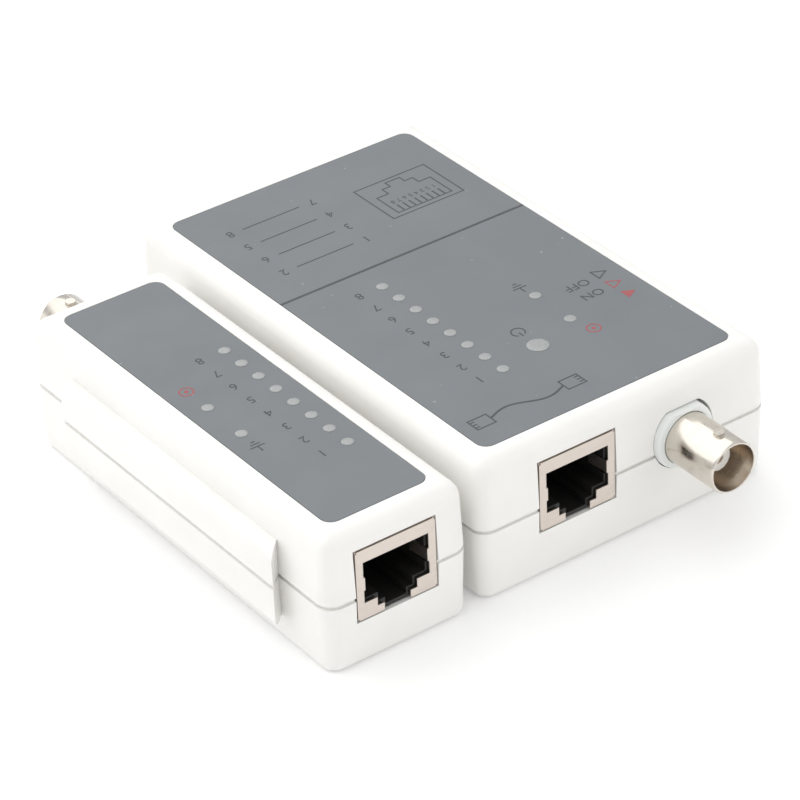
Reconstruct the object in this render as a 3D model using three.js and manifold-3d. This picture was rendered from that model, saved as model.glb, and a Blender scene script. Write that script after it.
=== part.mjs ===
// A two-piece network cable tester: a main unit and the remote unit that ends the cable under test.
// Millimetres, +Z up. The origin is the centre of the main unit's flat base, and its ports face -Y.
// Each unit is built in its own frame, with the origin at the centre of its base.

import * as THREE from 'three';
import { mergeVertices } from 'three/addons/utils/BufferGeometryUtils.js';
import Module from 'manifold-3d';

const wasm = await Module();
wasm.setup();

// Clearances and cuts that every piece shares
const seatGap = 0.3;
const cutOverrun = 1;

// How finely round forms are drawn, in segments
const detail = {
  caseCorner: 5,
  caseEdge: 4,
  turned: 26,
  bore: 14,
  boss: 12,
  pin: 10,
  led: 8,
  dome: 2,
  arc: 9,
  collar: 22,
  crown: 3,
  wire: 5,
  wireSteps: 9,
};

// How the housings' walls are moulded
const moulding = {
  wall: 2,
  cornerRadius: 3,
  leastRadius: 0.5,
  topRadius: 3,
  bottomRadius: 1.4,
  upperDraft: 0.4,
  lowerDraft: 0.45,
  innerChamfer: 1.4,
  grooveDepth: 0.5,
  grooveHeight: 0.42,
  lipThickness: 0.7,
  lipHeight: 1.2,
};

// The 9 volt block battery, its snap cap with two leads, and the bay that they lie in
const battery = {
  length: 48.5,
  width: 26.5,
  edgeRadius: 2.2,
  terminalSpacing: 12.7,
  studRadius: 2.8,
  studHeight: 2.8,
  socketRadius: 4,
};
const snap = {
  thickness: 3.4,
  width: 24,
  heightShare: 0.657,
  skirt: 1.2,
  leadRadius: 0.65,
  leadSpacing: 3,
  leadDrop: 2.4,
  leadRun: 4.8,
};
const bay = {
  endGap: 0.3,
  sideRoom: 0.95,
  headroom: 3.75,
  ribThickness: 1.4,
  ribGap: 3.4,
  rearGap: 0.7,
  holdDownWidth: 1.2,
  holdDownX: 14,
};

// The two units. Their shells are widest where they meet, at a share of the height. The jack hangs
// below the top by its headroom, and the coaxial socket's axis lies between the board and the lid.
// Shares across are of the half width. The coaxial socket is on the front (-1) or on the rear (1).
const batteryEndRoom = bay.endGap + snap.thickness + bay.sideRoom + moulding.wall;
const mainCase = {
  width: battery.length + 2 * batteryEndRoom,
  length: 101.6,
  height: 27.05,
  partingShare: 0.5194,
  sheetSideMargin: 4.45,
  sheetEndMargin: 4.4,
  jackHeadroom: 4.3,
  jackAcrossShare: -0.343,
  coaxAcrossShare: 0.3803,
  coaxRiseShare: 0.425,
  coaxSide: -1,
};
const remoteCase = {
  width: 28.7,
  length: 89.1,
  height: 26.2,
  partingShare: 0.5172,
  sheetSideMargin: 4.3,
  sheetEndMargin: 4.65,
  jackHeadroom: 4,
  jackAcrossShare: -0.028,
  coaxAcrossShare: 0,
  coaxRiseShare: 0.34,
  coaxSide: 1,
};

// Where the remote unit stands beside the main unit
const unitSpacing = 2.4;
const remoteLead = 0.45;

// The printed sheets, each glued into a shallow recess in the top
const sheet = { thickness: 0.25, glueLine: 0.05, edgeGap: 0.15, cornerRadius: 2 };

// The shielded modular jack, from the middle of its face's lower edge
const jack = {
  width: 15.8,
  height: 13.4,
  depth: 16.5,
  sheetMetal: 0.3,
  faceRecess: 0.2,
  cutoutGap: 0.3,
  cornerRelief: 0.6,
  windowWidth: 13,
  windowTop: 10.95,
  windowBottom: 3.05,
  keyWidth: 7.9,
  keyBottom: 1.43,
  latchWidth: 5.2,
  insulatorInset: 0.5,
  cavityDepth: 11.8,
  cavityFloor: 0.7,
  fingerBottom: 5.5,
  fingerTop: 7.95,
  fingerLength: 4.4,
  fingerLean: 0.35,
};

// The jack's eight contact wires and the bar that they are moulded into
const contact = {
  count: 8,
  pitch: 1.02,
  width: 0.4,
  thickness: 0.35,
  tipSetback: 2.6,
  tipDrop: 0.5,
  heelHeight: 8.15,
  barLength: 2.4,
  barHeight: 2.6,
  barMargin: 1,
};

// The bayonet coaxial socket, from its axis at the case's face
const coax = {
  reach: 13.15,
  barrelRadius: 4.85,
  barrelGap: 0.08,
  rimRadius: 4.65,
  rimChamfer: 0.35,
  boreRadius: 4.4,
  boreDepth: 8.4,
  rearLength: 4,
  lugRadius: 1,
  lugTipRadius: 5.4,
  lugSetback: 3.8,
  dielectricRadius: 2.4,
  dielectricSetback: 3.7,
  dielectricRear: 8,
  contactRadius: 0.7,
  contactBore: 0.42,
  contactBoreDepth: 4,
  contactSetback: 0.5,
  collarRadius: 6.15,
  collarFlat: 5.25,
  collarProud: 0.2,
  crownRise: 1.1,
  crownInset: 0.95,
  crownFlatInset: 0.15,
  holeRadius: 6.5,
  holeFlat: 5.45,
  holeShift: 0.25,
  blockWidth: 14.4,
  blockAbove: 6.8,
  blockDepth: 13.5,
};

// Light-emitting diodes: the small ones and the larger power light
const smallLed = { radius: 1.5, flangeRadius: 1.85, flangeHeight: 0.9, bodyHeight: 4.4 };
const powerLed = { radius: 2.4, flangeRadius: 2.8, flangeHeight: 1, bodyHeight: 6.6 };
const ledLead = { width: 0.5, spread: 1.27, holeGap: 0.3 };
const pinCount = 8;
const mainRow = { x: -9.45, firstY: -29.44, pitch: 4.89 };
const remoteRow = { x: 6.08, firstY: -22.75, pitch: 5.13 };
const mainLights = {
  groundX: 9.1,
  groundY: -14.6,
  coaxX: 9.05,
  coaxY: -24.3,
  powerX: -0.4,
  powerY: -27.4,
};
const remoteLights = { groundX: -6, groundY: -9.65, coaxX: -6, coaxY: 0.3 };

// Circuit boards, held between the screw bosses of the two shells
const board = { thickness: 1.6, edgeGap: 1, cornerCut: 2.5, screwHole: 1.5 };
const remoteBoardEnd = 30;
const chip = {
  x: 10,
  y: 0,
  length: 19,
  width: 6.4,
  height: 3.2,
  legs: 7,
  legPitch: 2.54,
  legWidth: 0.6,
  legSpan: 8.2,
};

// Case screws and the bosses that they run through. The sink is a share of the board's height above
// the base, the head a share of the sink, and the recess a share of the head.
const screw = {
  headRadius: 2.5,
  headShare: 0.47,
  headTaper: 0.5,
  shankRadius: 1.1,
  length: 13,
  tipLength: 1.6,
  recessWidth: 0.6,
  recessLength: 2.8,
  recessShare: 0.6,
};
const boss = { radius: 3.8, upperRadius: 3.1, sinkShare: 0.5 };
const screwInset = { side: 5.7, front: 5.7, rib: 4.4 };
const remoteScrewY = 23.5;

// The three-position slide switch at the main unit's right side, drawn at its off position
const powerSwitch = {
  offY: -16,
  travel: 8.2,
  bodyDepth: 6,
  bodyHeight: 5,
  bodyWall: 0.8,
  sliderDepth: 2.4,
  sliderLength: 5,
  knobLength: 4,
  knobHeight: 3,
  knobProud: 1.5,
  ridgeDepth: 0.4,
  ridgeWidth: 0.5,
  ridgePitch: 1,
  ridges: 3,
};

// The sliding battery door, which runs out of the rear of the base
const door = {
  frontMargin: 2.1,
  sideMargin: 0.05,
  floorGap: 0.3,
  thickness: 1.7,
  tongueWidth: 1.8,
  tongueHeight: 1.2,
  tongueInset: 1.2,
  frontTabWidth: 14,
  frontTabLength: 1.6,
  railThickness: 1.2,
  ribs: 3,
  gripCount: 5,
  gripLength: 16,
  gripWidth: 0.9,
  gripDepth: 0.5,
  gripPitch: 2.2,
  gripEndMargin: 5,
};

// The raised docking block on the remote unit's left side
const block = {
  reach: 2.85,
  frontSetback: 11,
  rearSetback: 14.2,
  undercut: 2.5,
  rise: 6.5,
  crownRise: 3,
  footHeight: 5.2,
  footRadius: 1.2,
  footDraft: 0.3,
  edgeRadius: 0.8,
  root: 1,
};

// Colours and finishes of the real surfaces
const finishes = {
  abs: { color: 0xf1f0ea, roughness: 0.45, metalness: 0 },
  sheet: { color: 0x919699, roughness: 0.4, metalness: 0 },
  tin: { color: 0xd9cfc6, roughness: 0.32, metalness: 1 },
  nickel: { color: 0xcbc5bd, roughness: 0.22, metalness: 1 },
  gold: { color: 0xd4a94e, roughness: 0.25, metalness: 1 },
  blackPlastic: { color: 0x161616, roughness: 0.5, metalness: 0 },
  whitePlastic: { color: 0xeceeea, roughness: 0.4, metalness: 0 },
  dielectric: { color: 0xe4e2de, roughness: 0.35, metalness: 0 },
  board: { color: 0x2f6b46, roughness: 0.5, metalness: 0 },
  lens: { color: 0xd8dedb, roughness: 0.3, metalness: 0 },
  steel: { color: 0xb9bcc0, roughness: 0.35, metalness: 1 },
  battery: { color: 0x4a4e52, roughness: 0.4, metalness: 0.2 },
};

// Turning three.js geometry into solids and back

function toSolid(geometry) {
  const bare = geometry.clone();
  bare.deleteAttribute('normal');
  bare.deleteAttribute('uv');
  const merged = mergeVertices(bare);
  const index = merged.index.array;
  const triangles = [];
  for (let i = 0; i < index.length; i += 3) {
    const [a, b, c] = [index[i], index[i + 1], index[i + 2]];
    if (a !== b && b !== c && c !== a) triangles.push(a, b, c);
  }
  return new wasm.Manifold(new wasm.Mesh({
    numProp: 3,
    vertProperties: new Float32Array(merged.attributes.position.array),
    triVerts: new Uint32Array(triangles),
  }));
}

function toGeometry(solid) {
  const mesh = solid.getMesh();
  const geometry = new THREE.BufferGeometry();
  geometry.setAttribute('position', new THREE.BufferAttribute(new Float32Array(mesh.vertProperties), 3));
  geometry.setIndex(new THREE.BufferAttribute(new Uint32Array(mesh.triVerts), 1));
  geometry.computeVertexNormals();
  return geometry;
}

function makeMesh(name, solid, finish) {
  const mesh = new THREE.Mesh(toGeometry(solid), new THREE.MeshStandardMaterial(finishes[finish]));
  mesh.name = name;
  return mesh;
}

// Basic solids

function slab([x0, x1], [y0, y1], [z0, z1]) {
  const geometry = new THREE.BoxGeometry(x1 - x0, y1 - y0, z1 - z0);
  geometry.translate((x0 + x1) / 2, (y0 + y1) / 2, (z0 + z1) / 2);
  return toSolid(geometry);
}

function around(centre, halfWidth) {
  return [centre - halfWidth, centre + halfWidth];
}

// The span between two distances from the middle, on the left (-1) or the right (1)
function sideSpan(side, near, far) {
  return side > 0 ? [near, far] : [-far, -near];
}

function rod(radius, [z0, z1], x, y, segments) {
  const geometry = new THREE.CylinderGeometry(radius, radius, z1 - z0, segments);
  geometry.rotateX(Math.PI / 2);
  geometry.translate(x, y, (z0 + z1) / 2);
  return toSolid(geometry);
}

// A profile of [radius, distance] pairs turned about the Y axis, from the axis back to the axis
function turnedAboutY(profile, segments) {
  const points = profile.map(([radius, distance]) => new THREE.Vector2(radius, distance));
  return toSolid(new THREE.LatheGeometry(points, segments));
}

function turnedAboutZ(profile, segments, x, y) {
  const points = profile.map(([radius, height]) => new THREE.Vector2(radius, height));
  const geometry = new THREE.LatheGeometry(points, segments);
  geometry.rotateX(Math.PI / 2);
  geometry.translate(x, y, 0);
  return toSolid(geometry);
}

function shapeOf(points) {
  return new THREE.Shape(points.map(([u, v]) => new THREE.Vector2(u, v)));
}

function extrusion(shape, depth) {
  return new THREE.ExtrudeGeometry(shape, { depth, bevelEnabled: false, curveSegments: detail.arc });
}

function extrudeAlongZ(shape, [z0, z1]) {
  const geometry = extrusion(shape, z1 - z0);
  geometry.translate(0, 0, z0);
  return toSolid(geometry);
}

// The shape's two axes become X and Z
function extrudeAlongY(shape, [y0, y1]) {
  const geometry = extrusion(shape, y1 - y0);
  geometry.rotateX(Math.PI / 2);
  geometry.translate(0, y1, 0);
  return toSolid(geometry);
}

// The shape's two axes become Y and Z
function extrudeAlongX(shape, [x0, x1]) {
  const geometry = extrusion(shape, x1 - x0);
  const turn = new THREE.Matrix4().makeBasis(
    new THREE.Vector3(0, 1, 0),
    new THREE.Vector3(0, 0, 1),
    new THREE.Vector3(1, 0, 0),
  );
  geometry.applyMatrix4(turn);
  geometry.translate(x0, 0, 0);
  return toSolid(geometry);
}

function joined(solids) {
  return solids.reduce((sum, solid) => sum.add(solid));
}

function cutFrom(solid, tools) {
  return tools.reduce((rest, tool) => rest.subtract(tool), solid);
}

// Rounded rectangles and lofts through them

function roundedOutline(halfWidth, halfLength, radius, segments) {
  const corners = [[1, 1, 0], [-1, 1, 1], [-1, -1, 2], [1, -1, 3]];
  const points = [];
  for (const [sideX, sideY, quarter] of corners) {
    for (let step = 0; step <= segments; step += 1) {
      const angle = (quarter + step / segments) * Math.PI / 2;
      const x = sideX * (halfWidth - radius) + radius * Math.cos(angle);
      const y = sideY * (halfLength - radius) + radius * Math.sin(angle);
      points.push([x, y]);
    }
  }
  return points;
}

// Joins outlines with equal numbers of points, listed from the bottom up, and caps both ends
function loft(sections) {
  const count = sections[0].outline.length;
  const positions = [];
  for (const { z, outline } of sections) {
    for (const [x, y] of outline) positions.push(x, y, z);
  }
  const index = [];
  for (let level = 0; level < sections.length - 1; level += 1) {
    for (let i = 0; i < count; i += 1) {
      const a = level * count + i;
      const b = level * count + (i + 1) % count;
      index.push(a, b, a + count, b, b + count, a + count);
    }
  }
  const top = (sections.length - 1) * count;
  for (let i = 1; i < count - 1; i += 1) {
    index.push(0, i + 1, i);
    index.push(top, top + i, top + i + 1);
  }
  const geometry = new THREE.BufferGeometry();
  geometry.setAttribute('position', new THREE.Float32BufferAttribute(positions, 3));
  geometry.setIndex(index);
  return toSolid(geometry);
}

function caseSection(unit, z, inset) {
  const radius = Math.max(moulding.cornerRadius - inset, moulding.leastRadius);
  const outline = roundedOutline(unit.width / 2 - inset, unit.length / 2 - inset, radius, detail.caseCorner);
  return { z, outline };
}

// Housings

function partingHeight(unit) {
  return unit.partingShare * unit.height;
}

function upperBottom(unit) {
  return partingHeight(unit) + seatGap / 2;
}

function lowerTop(unit) {
  return partingHeight(unit) - seatGap / 2;
}

function upperOuter(unit) {
  const shoulder = unit.height - moulding.topRadius;
  const sections = [caseSection(unit, upperBottom(unit), 0)];
  for (let step = 0; step <= detail.caseEdge; step += 1) {
    const angle = step / detail.caseEdge * Math.PI / 2;
    const z = shoulder + moulding.topRadius * Math.sin(angle);
    const inset = moulding.upperDraft + moulding.topRadius * (1 - Math.cos(angle));
    sections.push(caseSection(unit, z, inset));
  }
  return loft(sections);
}

function lowerOuter(unit) {
  const sections = [];
  for (let step = 0; step <= detail.caseEdge; step += 1) {
    const angle = step / detail.caseEdge * Math.PI / 2;
    const z = moulding.bottomRadius * (1 - Math.cos(angle));
    const inset = moulding.lowerDraft + moulding.bottomRadius * (1 - Math.sin(angle));
    sections.push(caseSection(unit, z, inset));
  }
  sections.push(caseSection(unit, lowerTop(unit) - moulding.grooveHeight, 0));
  sections.push(caseSection(unit, lowerTop(unit) - moulding.grooveHeight, moulding.grooveDepth));
  sections.push(caseSection(unit, lowerTop(unit), moulding.grooveDepth));
  return loft(sections);
}

function upperCavity(unit) {
  const { wall, upperDraft, innerChamfer } = moulding;
  return loft([
    caseSection(unit, upperBottom(unit) - moulding.lipHeight - cutOverrun, wall),
    caseSection(unit, unit.height - wall - innerChamfer, wall + upperDraft),
    caseSection(unit, unit.height - wall, wall + upperDraft + innerChamfer),
  ]);
}

function lowerCavity(unit) {
  const { wall, lowerDraft, innerChamfer } = moulding;
  return loft([
    caseSection(unit, wall, wall + lowerDraft + innerChamfer),
    caseSection(unit, wall + innerChamfer, wall + lowerDraft),
    caseSection(unit, lowerTop(unit) + cutOverrun, wall),
  ]);
}

// The upper shell's lip, which stands inside a rebate in the lower shell's wall
function lip(unit) {
  const { wall, lipThickness, lipHeight } = moulding;
  const bottom = upperBottom(unit) - lipHeight;
  return loft([
    caseSection(unit, bottom, wall - lipThickness),
    caseSection(unit, upperBottom(unit) + lipHeight, wall - lipThickness),
  ]);
}

function lipRebate(unit) {
  const inset = moulding.wall - moulding.lipThickness - seatGap;
  const bottom = upperBottom(unit) - moulding.lipHeight - seatGap;
  return loft([
    caseSection(unit, bottom, inset),
    caseSection(unit, lowerTop(unit) + cutOverrun, inset),
  ]);
}

function sheetOutline(unit, growth) {
  const halfWidth = unit.width / 2 - unit.sheetSideMargin + growth;
  const halfLength = unit.length / 2 - unit.sheetEndMargin + growth;
  return shapeOf(roundedOutline(halfWidth, halfLength, sheet.cornerRadius + growth, detail.caseCorner));
}

function sheetRecess(unit) {
  const depth = sheet.thickness + sheet.glueLine;
  return extrudeAlongZ(sheetOutline(unit, sheet.edgeGap), [unit.height - depth, unit.height + cutOverrun]);
}

function printedSheet(unit) {
  return extrudeAlongZ(sheetOutline(unit, 0), [unit.height - sheet.thickness, unit.height]);
}

function frontFace(unit) {
  return -unit.length / 2;
}

// Where the jack's lower edge and the coaxial socket's axis are
function jackX(unit) {
  return unit.jackAcrossShare * unit.width / 2;
}

function jackBase(unit) {
  return unit.height - unit.jackHeadroom - jack.height;
}

function coaxX(unit) {
  return unit.coaxAcrossShare * unit.width / 2;
}

function coaxAboveBoard(unit) {
  return unit.coaxRiseShare * (unit.height - moulding.wall - boardTop(unit));
}

function coaxAxis(unit) {
  return boardTop(unit) + coaxAboveBoard(unit);
}

function jackCutout(unit) {
  return slab(
    around(jackX(unit), jack.width / 2 + jack.cutoutGap),
    [frontFace(unit) - cutOverrun, frontFace(unit) + moulding.wall + cutOverrun],
    [jackBase(unit) - jack.cutoutGap, jackBase(unit) + jack.height + jack.cutoutGap],
  );
}

// A circle with a flat along its upper side, from the flat's left end round to its right end
function flattedCircle(radius, flatHeight, x, z) {
  const start = Math.asin(flatHeight / radius);
  const points = [];
  for (let step = 0; step <= detail.collar; step += 1) {
    const angle = Math.PI - start + step / detail.collar * (Math.PI + 2 * start);
    points.push([x + radius * Math.cos(angle), z + radius * Math.sin(angle)]);
  }
  return points;
}

function coaxCutout(unit) {
  const x = coaxX(unit) + coax.holeShift;
  const shape = shapeOf(flattedCircle(coax.holeRadius, coax.holeFlat, x, coaxAxis(unit)));
  const inner = moulding.wall + cutOverrun;
  const span = sideSpan(unit.coaxSide, unit.length / 2 - inner, unit.length / 2 + cutOverrun);
  return extrudeAlongY(shape, span);
}

function mainScrewX() {
  return mainCase.width / 2 - screwInset.side;
}

// Screw places: [x, y] pairs
function mainScrewPlaces() {
  const x = mainScrewX();
  const frontY = frontFace(mainCase) + screwInset.front;
  const rearY = ribFront() - screwInset.rib;
  return [[-x, frontY], [x, frontY], [-x, rearY], [x, rearY]];
}

function remoteScrewPlaces() {
  const x = remoteCase.width / 2 - screwInset.side;
  return [[-x, -remoteScrewY], [x, remoteScrewY]];
}

// Heights in a unit's stack: the board lies under its jack, between the bosses
function boardTop(unit) {
  return jackBase(unit) - seatGap;
}

function boardBottom(unit) {
  return boardTop(unit) - board.thickness;
}

function sinkDepth(unit) {
  return boss.sinkShare * boardBottom(unit);
}

function screwSeat(unit) {
  return sinkDepth(unit) - seatGap;
}

function lowerBosses(unit, places) {
  const top = boardBottom(unit) - seatGap;
  return places.map(([x, y]) => rod(boss.radius, [moulding.wall / 2, top], x, y, detail.bore));
}

function lowerBossCuts(unit, places) {
  return places.flatMap(([x, y]) => [
    rod(screw.headRadius + seatGap, [-cutOverrun, sinkDepth(unit)], x, y, detail.bore),
    rod(screw.shankRadius + seatGap, [0, boardBottom(unit)], x, y, detail.boss),
  ]);
}

function upperBosses(unit, places) {
  const bottom = boardTop(unit) + seatGap;
  const top = unit.height - moulding.wall / 2;
  return places.map(([x, y]) => rod(boss.upperRadius, [bottom, top], x, y, detail.boss));
}

function upperBossCuts(unit, places) {
  const span = [boardTop(unit), screwSeat(unit) + screw.length + seatGap];
  return places.map(([x, y]) => rod(screw.shankRadius + seatGap, span, x, y, detail.boss));
}

// Lights: each is { name, x, y, size }
function lightRow(prefix, row) {
  const lights = [];
  for (let pin = 1; pin <= pinCount; pin += 1) {
    const y = row.firstY + (pin - 1) * row.pitch;
    lights.push({ name: `${prefix}_pin_led_${pin}`, x: row.x, y, size: smallLed });
  }
  return lights;
}

function mainLightList() {
  return [
    ...lightRow('main', mainRow),
    { name: 'main_ground_led', x: mainLights.groundX, y: mainLights.groundY, size: smallLed },
    { name: 'main_coax_led', x: mainLights.coaxX, y: mainLights.coaxY, size: smallLed },
    { name: 'main_power_led', x: mainLights.powerX, y: mainLights.powerY, size: powerLed },
  ];
}

function remoteLightList() {
  return [
    ...lightRow('remote', remoteRow),
    { name: 'remote_ground_led', x: remoteLights.groundX, y: remoteLights.groundY, size: smallLed },
    { name: 'remote_coax_led', x: remoteLights.coaxX, y: remoteLights.coaxY, size: smallLed },
  ];
}

function lightHoles(unit, lights) {
  const floor = unit.height - moulding.wall - cutOverrun;
  return lights.map(({ x, y, size }) => (
    rod(size.radius + ledLead.holeGap, [floor, unit.height], x, y, detail.led)
  ));
}

// The switch's slot through the right wall, which the parting line crosses
function switchAxisHeight() {
  return boardTop(mainCase) + seatGap + powerSwitch.bodyHeight / 2;
}

function switchSlot() {
  const { offY, travel, knobLength, knobHeight } = powerSwitch;
  const side = mainCase.width / 2;
  return slab(
    [side - moulding.wall - cutOverrun, side + cutOverrun],
    [offY - travel - knobLength / 2 - seatGap, offY + knobLength / 2 + seatGap],
    around(switchAxisHeight(), knobHeight / 2 + seatGap),
  );
}

// The battery bay and its door

function doorTop() {
  return door.floorGap + door.thickness;
}

function tongueTop() {
  return moulding.wall + seatGap + door.tongueHeight;
}

function doorHalfWidth() {
  return battery.length / 2 - door.sideMargin;
}

function tongueEdge() {
  return doorHalfWidth() + door.tongueWidth;
}

function doorFront() {
  return batteryRear() - battery.width - door.frontMargin;
}

function ribFront() {
  return doorFront() - bay.ribGap;
}

function batteryBottom() {
  return tongueTop() + seatGap;
}

function batteryHeight() {
  return mainCase.height - moulding.wall - bay.headroom - batteryBottom();
}

function bayRearWall() {
  return mainCase.length / 2 - moulding.wall - moulding.lowerDraft;
}

function doorOpening() {
  const rear = mainCase.length / 2 + cutOverrun;
  const plateWay = slab(
    around(0, doorHalfWidth() + seatGap),
    [doorFront() - seatGap, rear],
    [-cutOverrun, moulding.wall + cutOverrun],
  );
  const rearWay = slab(
    around(0, tongueEdge() + seatGap),
    [bayRearWall() - moulding.innerChamfer - seatGap, rear],
    [-cutOverrun, tongueTop() + seatGap],
  );
  return plateWay.add(rearWay);
}

// Half the width between the rails' lips, which the battery passes
function bayHalfWidth() {
  return battery.length / 2 + bay.endGap;
}

// Hooked rails on the base, which keep the door's tongues from rising
function doorRails() {
  const inner = tongueEdge() + seatGap;
  const outer = inner + door.railThickness;
  const lipBottom = tongueTop() + seatGap;
  const lipTop = lipBottom + door.railThickness;
  const run = [doorFront(), bayRearWall()];
  return [-1, 1].flatMap((side) => [
    slab(sideSpan(side, inner, outer), run, [moulding.wall / 2, lipTop]),
    slab(sideSpan(side, bayHalfWidth(), outer), run, [lipBottom, lipTop]),
  ]);
}

function ribTop() {
  return upperBottom(mainCase) - moulding.lipHeight - seatGap;
}

function bayRib() {
  const half = mainCase.width / 2 - moulding.wall / 2 - moulding.lowerDraft;
  return slab(around(0, half), [ribFront(), ribFront() + bay.ribThickness], [moulding.wall / 2, ribTop()]);
}

function batteryRear() {
  return bayRearWall() - bay.rearGap;
}

// Ribs under the lid that keep the battery down
function holdDownRibs() {
  const bottom = batteryBottom() + batteryHeight() + seatGap;
  const top = mainCase.height - moulding.wall / 2;
  return [-1, 1].map((side) => slab(
    around(side * bay.holdDownX, bay.holdDownWidth / 2),
    [batteryRear() - battery.width, batteryRear()],
    [bottom, top],
  ));
}

// The docking block's section across X and Z, drawn outwards from the wall
function blockUpperSection(wallX) {
  const bottom = upperBottom(remoteCase);
  const crownStart = bottom + block.rise - block.crownRise;
  const points = [[wallX + block.root, bottom], [wallX + block.root, bottom + block.rise]];
  for (let step = detail.caseEdge; step >= 0; step -= 1) {
    const angle = step / detail.caseEdge * Math.PI / 2;
    points.push([wallX - block.reach * Math.cos(angle), crownStart + block.crownRise * Math.sin(angle)]);
  }
  points.push([wallX - block.reach, bottom]);
  return shapeOf(points);
}

function blockLowerSection(wallX) {
  const top = lowerTop(remoteCase);
  const { reach, footHeight, footRadius, footDraft, root } = block;
  const footReach = reach - footDraft;
  const points = [
    [wallX + root, top],
    [wallX - reach + moulding.grooveDepth, top],
    [wallX - reach + moulding.grooveDepth, top - moulding.grooveHeight],
    [wallX - reach, top - moulding.grooveHeight],
  ];
  for (let step = 0; step <= detail.caseEdge; step += 1) {
    const angle = step / detail.caseEdge * Math.PI / 2;
    const x = wallX - footReach + footRadius * (1 - Math.cos(angle));
    points.push([x, footHeight + footRadius * (1 - Math.sin(angle))]);
  }
  points.push([wallX + root + moulding.lowerDraft, footHeight]);
  return shapeOf(points);
}

// The block's outline from above: its front end is undercut, its outer edges are rounded
function blockPlan(wallX) {
  const { reach, undercut, edgeRadius, root } = block;
  const front = frontFace(remoteCase) + block.frontSetback;
  const rear = remoteCase.length / 2 - block.rearSetback;
  const depth = root + moulding.lowerDraft;
  const slope = undercut / reach;
  const middle = edgeRadius * (1 - Math.SQRT1_2);
  return shapeOf([
    [wallX + depth, front + undercut + depth * slope],
    [wallX - reach + edgeRadius, front + edgeRadius * slope],
    [wallX - reach + middle, front + middle],
    [wallX - reach, front + edgeRadius],
    [wallX - reach, rear - edgeRadius],
    [wallX - reach + middle, rear - middle],
    [wallX - reach + edgeRadius, rear],
    [wallX + depth, rear],
  ].reverse());
}

function dockingBlock(section) {
  const wallX = -remoteCase.width / 2;
  const length = [frontFace(remoteCase), remoteCase.length / 2];
  const plan = extrudeAlongZ(blockPlan(wallX), [0, remoteCase.height]);
  return extrudeAlongY(section(wallX), length).intersect(plan);
}

function upperShell(unit, places, lights, additions) {
  const hollow = cutFrom(joined([upperOuter(unit), lip(unit)]), [upperCavity(unit)]);
  const filled = joined([hollow, ...upperBosses(unit, places), ...additions]);
  return cutFrom(filled, [
    sheetRecess(unit),
    jackCutout(unit),
    coaxCutout(unit),
    ...upperBossCuts(unit, places),
    ...lightHoles(unit, lights),
  ]);
}

function lowerShell(unit, places, additions) {
  const hollow = cutFrom(lowerOuter(unit), [lowerCavity(unit), lipRebate(unit)]);
  const filled = joined([hollow, ...lowerBosses(unit, places), ...additions]);
  return cutFrom(filled, [
    jackCutout(unit),
    coaxCutout(unit),
    ...lowerBossCuts(unit, places),
  ]);
}

// The modular jack, from the middle of its face's lower edge, with +Y going into the case

function steppedOpening(inset, bottom) {
  const wide = jack.windowWidth / 2 - inset;
  const key = jack.keyWidth / 2 - inset;
  const latch = jack.latchWidth / 2 - inset;
  const top = jack.windowTop - inset;
  const right = [[wide, top], [wide, jack.windowBottom + inset], [key, jack.windowBottom + inset],
    [key, jack.keyBottom + inset], [latch, jack.keyBottom + inset], [latch, bottom]];
  const left = right.map(([x, z]) => [-x, z]).reverse();
  return shapeOf([...right, ...left].reverse());
}

// A spring finger is folded back from the window's edge and leans into the opening
function shieldFinger(side) {
  const edge = side * jack.windowWidth / 2;
  const thick = side * jack.sheetMetal;
  const lean = side * jack.fingerLean;
  const outline = [
    [edge + thick, 0],
    [edge + thick, jack.sheetMetal],
    [edge, jack.sheetMetal],
    [edge - lean, jack.fingerLength],
    [edge - lean - thick, jack.fingerLength],
    [edge - thick, 0],
  ];
  const shape = shapeOf(side > 0 ? outline : outline.reverse());
  return extrudeAlongZ(shape, [jack.fingerBottom, jack.fingerTop]);
}

function jackShield() {
  const { width, height, depth, sheetMetal, cornerRelief } = jack;
  const outer = slab(around(0, width / 2), [0, depth], [0, height]);
  const inner = slab(
    around(0, width / 2 - sheetMetal),
    [sheetMetal, depth - sheetMetal],
    [-cutOverrun, height - sheetMetal],
  );
  const window = extrudeAlongY(steppedOpening(0, -cutOverrun), [-cutOverrun, sheetMetal + cutOverrun]);
  const reliefs = [-1, 1].flatMap((side) => [0, height].map((z) => slab(
    around(side * width / 2, cornerRelief / 2),
    [-cutOverrun, sheetMetal],
    around(z, cornerRelief / 2),
  )));
  return joined([cutFrom(outer, [inner, window, ...reliefs]), shieldFinger(-1), shieldFinger(1)]);
}

function jackInsulator() {
  const { width, height, depth, sheetMetal, insulatorInset, cavityFloor, cavityDepth } = jack;
  const skin = sheetMetal + seatGap;
  const body = slab(around(0, width / 2 - skin), [skin, depth - skin], [0, height - skin]);
  const cavity = extrudeAlongY(steppedOpening(insulatorInset, cavityFloor), [-cutOverrun, cavityDepth]);
  const fingerWays = slab(
    around(0, jack.windowWidth / 2 + seatGap),
    [-cutOverrun, jack.fingerLength + seatGap],
    [jack.fingerBottom - seatGap, jack.fingerTop + seatGap],
  );
  const wireWay = slab(
    around(0, contactHalfWidth() + seatGap),
    [cavityDepth - cutOverrun, depth],
    around(contact.heelHeight, contact.thickness / 2 + seatGap),
  );
  const barWay = slab(
    around(0, contactHalfWidth() + contact.barMargin / 2 + seatGap),
    [barFront() - seatGap, depth],
    around(contact.heelHeight, contact.barHeight / 2 + seatGap),
  );
  return cutFrom(body, [cavity, fingerWays, wireWay, barWay]);
}

function contactHalfWidth() {
  return (contact.count - 1) * contact.pitch / 2 + contact.width / 2;
}

function barFront() {
  return jack.depth - jack.sheetMetal - seatGap - contact.barLength;
}

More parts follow.
